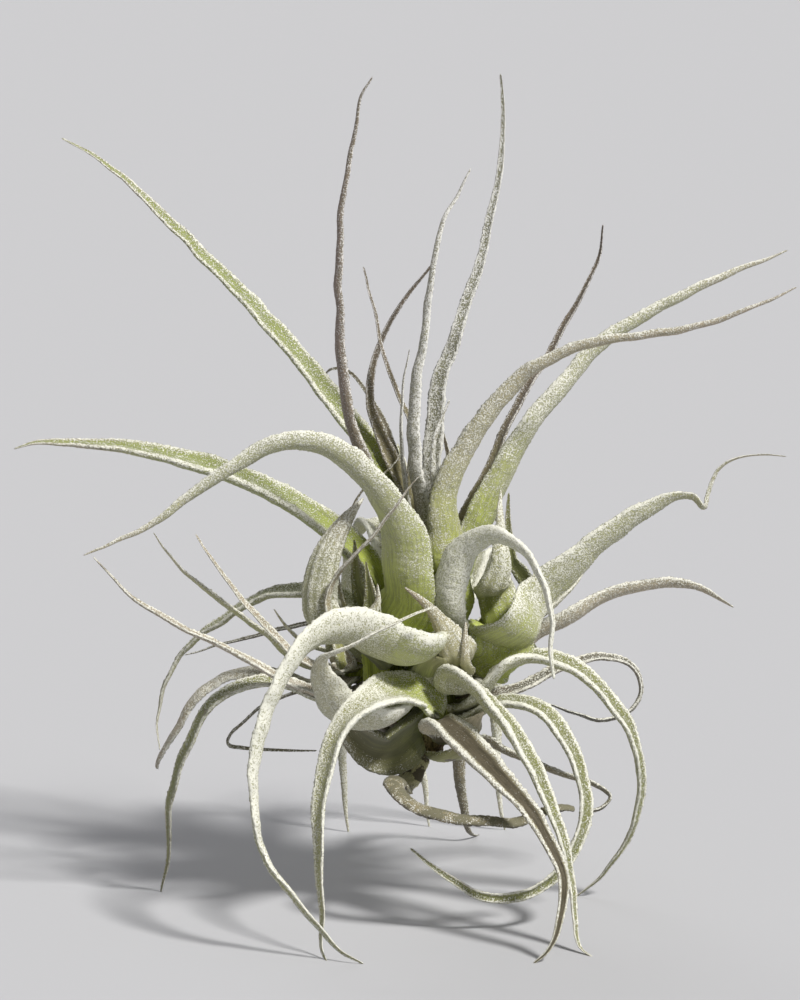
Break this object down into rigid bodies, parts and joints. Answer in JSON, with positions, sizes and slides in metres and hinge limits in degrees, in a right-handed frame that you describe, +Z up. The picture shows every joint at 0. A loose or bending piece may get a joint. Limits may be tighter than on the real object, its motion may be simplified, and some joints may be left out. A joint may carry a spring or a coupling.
{
  "type": "air plant",
  "caption": "Rootless house plant: tapering, curling leaves furred with silver scales, grown round a short stem with young side shoots, standing on its drooping leaves.",
  "frame": {"origin": "middle of the plant's footprint, on the surface that its drooping leaves rest on", "axes": "+Z up the stem, +X to the right of the plant's front view, +Y towards its back"},
  "size_m": [0.136, 0.091, 0.148],
  "materials": {
    "silver_leaf": "dull silver-grey scales over pale green",
    "green_leaf": "smooth olive green channel with silvery margins",
    "bronze_leaf": "dull bronze brown, finely scaled",
    "tan_leaf": "dull pinkish tan, finely scaled",
    "dry_leaf": "withered, papery brown",
    "stem": "dull brown, fibrous"
  },
  "bodies": {
    "root": {"stem": "stem", "leaf_high_left": "silver_leaf", "leaf_upright_left": "bronze_leaf", "leaf_upright_slender": "silver_leaf", "leaf_upright_bowed": "bronze_leaf", "leaf_upright_centre": "silver_leaf", "leaf_upright_short": "silver_leaf", "leaf_upright_right": "silver_leaf", "leaf_tip_right": "silver_leaf", "leaf_tip_pink": "tan_leaf", "leaf_sweep_right": "silver_leaf", "leaf_high_right": "silver_leaf", "leaf_back_right_slender": "bronze_leaf", "leaf_level_left": "green_leaf", "leaf_arching_left": "silver_leaf", "leaf_back_thread": "dry_leaf", "pup_left_blade": "silver_leaf", "pup_left_slender": "silver_leaf", "pup_left_dry_strip": "dry_leaf", "pup_left_bud_front": "green_leaf", "pup_left_bud_right": "silver_leaf", "pup_left_bud_back": "green_leaf", "pup_right_blade": "silver_leaf", "pup_right_bud": "green_leaf", "leaf_curl_front_right": "silver_leaf", "leaf_right_crooked_tip": "silver_leaf", "leaf_right_low": "tan_leaf", "leaf_right_behind": "silver_leaf", "leaf_right_arch_outer": "green_leaf", "leaf_right_loop": "bronze_leaf", "leaf_right_arch_inner": "green_leaf", "leaf_right_dry": "dry_leaf", "leaf_front_right_channelled": "green_leaf", "leaf_front_dark_channel": "green_leaf", "leaf_front_dry_hook": "dry_leaf", "leaf_front_left_arch": "silver_leaf", "leaf_left_bent_tip": "silver_leaf", "leaf_front_left_low": "silver_leaf", "bract_dry_centre": "dry_leaf", "bud_tip_centre": "silver_leaf", "leaf_left_tan": "tan_leaf", "leaf_left_green": "green_leaf", "leaf_left_slender": "tan_leaf", "leaf_left_short": "silver_leaf", "leaf_back_left_arch": "green_leaf", "leaf_back_left_dry": "dry_leaf", "leaf_left_blunt": "tan_leaf", "leaf_left_banded": "green_leaf", "leaf_left_dry_v": "dry_leaf", "leaf_back_arch_left": "silver_leaf", "leaf_back_arch_right": "green_leaf", "leaf_back_arch_centre": "silver_leaf", "leaf_back_low": "dry_leaf", "leaf_back_upper_centre": "silver_leaf", "leaf_back_upper_right": "silver_leaf", "leaf_back_upper_left": "silver_leaf", "sheath_front_left": "green_leaf", "sheath_front_right": "tan_leaf", "sheath_back_left": "dry_leaf", "sheath_back_right": "dry_leaf"}
  },
  "joints": []
}
